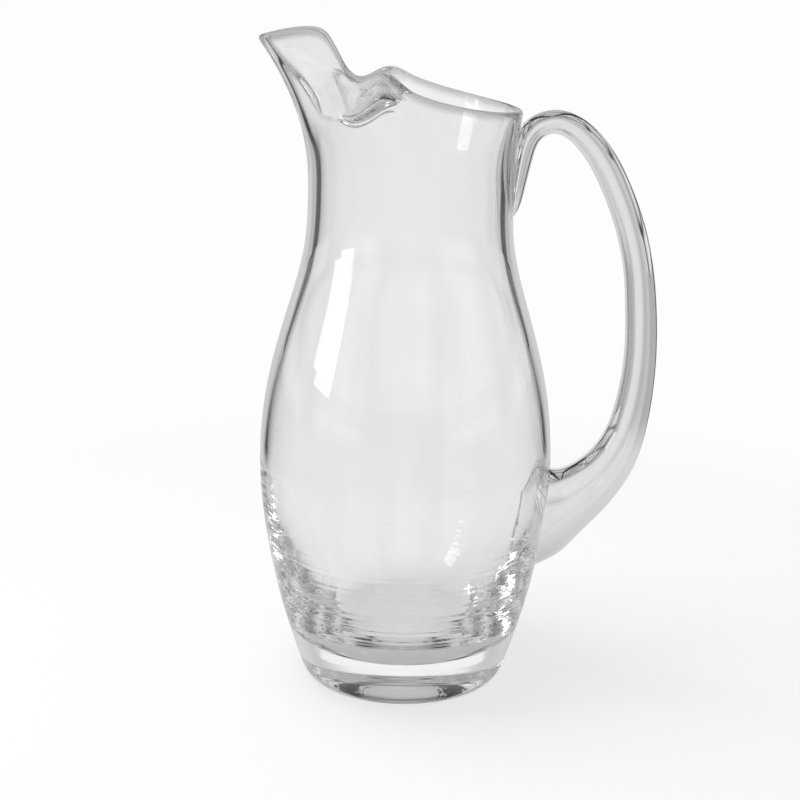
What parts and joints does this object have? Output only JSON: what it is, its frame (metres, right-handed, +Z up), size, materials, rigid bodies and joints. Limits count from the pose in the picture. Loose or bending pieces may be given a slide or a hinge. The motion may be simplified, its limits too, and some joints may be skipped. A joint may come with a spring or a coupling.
{
  "type": "glass water jug",
  "caption": "Clear glass water jug with a heavy solid base, waisted neck, slanted mouth, pinched ice-lip spout and a pulled loop handle.",
  "frame": {"origin": "middle of the flat resting face, on the axis of the body", "axes": "+Z up along the axis of the body, +X towards the handle, -X towards the spout, and the plane Y = 0 is the plane of symmetry"},
  "size_m": [0.1612, 0.1198, 0.2666],
  "materials": {
    "blown_glass": "clear, fire-polished",
    "pulled_glass": "clear, pulled and fire-polished"
  },
  "bodies": {
    "root": {"vessel": "blown_glass", "handle": "pulled_glass"}
  },
  "joints": []
}
